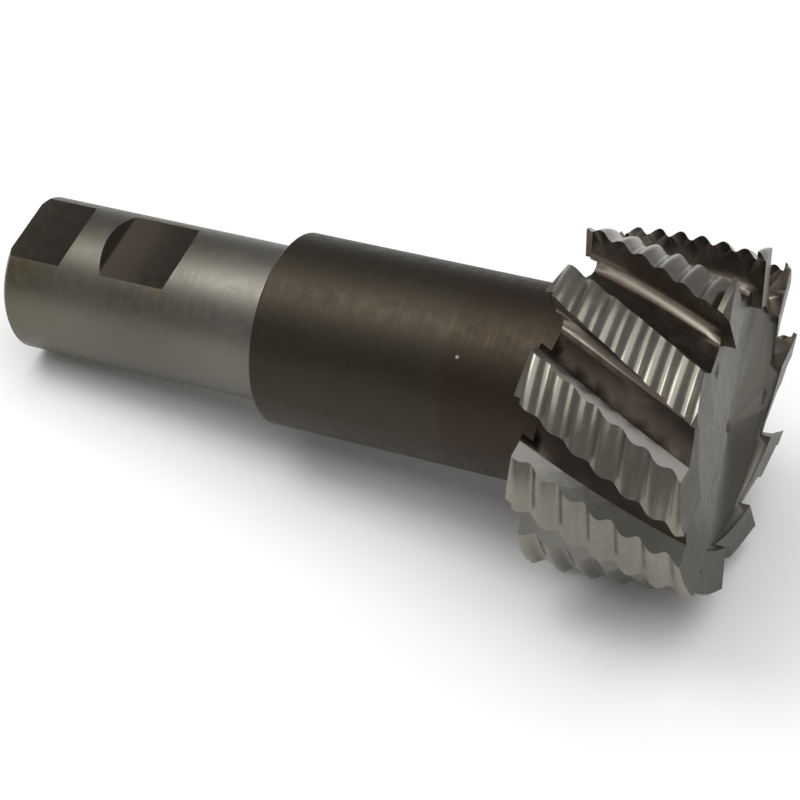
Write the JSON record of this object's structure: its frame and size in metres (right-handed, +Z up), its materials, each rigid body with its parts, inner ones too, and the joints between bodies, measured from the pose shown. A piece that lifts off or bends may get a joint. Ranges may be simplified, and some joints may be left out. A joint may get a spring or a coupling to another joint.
{
  "type": "t-slot cutter",
  "caption": "T-slot milling cutter: a wide head with helical, serrated roughing teeth, a dark plain neck and a bright straight shank with clamping flats.",
  "frame": {"origin": "centre of the part's footprint box, on the ground it lies on", "axes": "+X runs from the shank's end to the cutting head, whose axis rises 7.9 degrees towards the head as the cutter lies at rest; +Z is up; the side nearest the picture's camera faces -Y"},
  "size_m": [0.1572, 0.0672, 0.0699],
  "materials": {
    "tool_steel": "ground satin shank and teeth, dark brown oxide on the neck and in the gullets"
  },
  "bodies": {
    "root": {"t_slot_cutter": "tool_steel"}
  },
  "joints": []
}
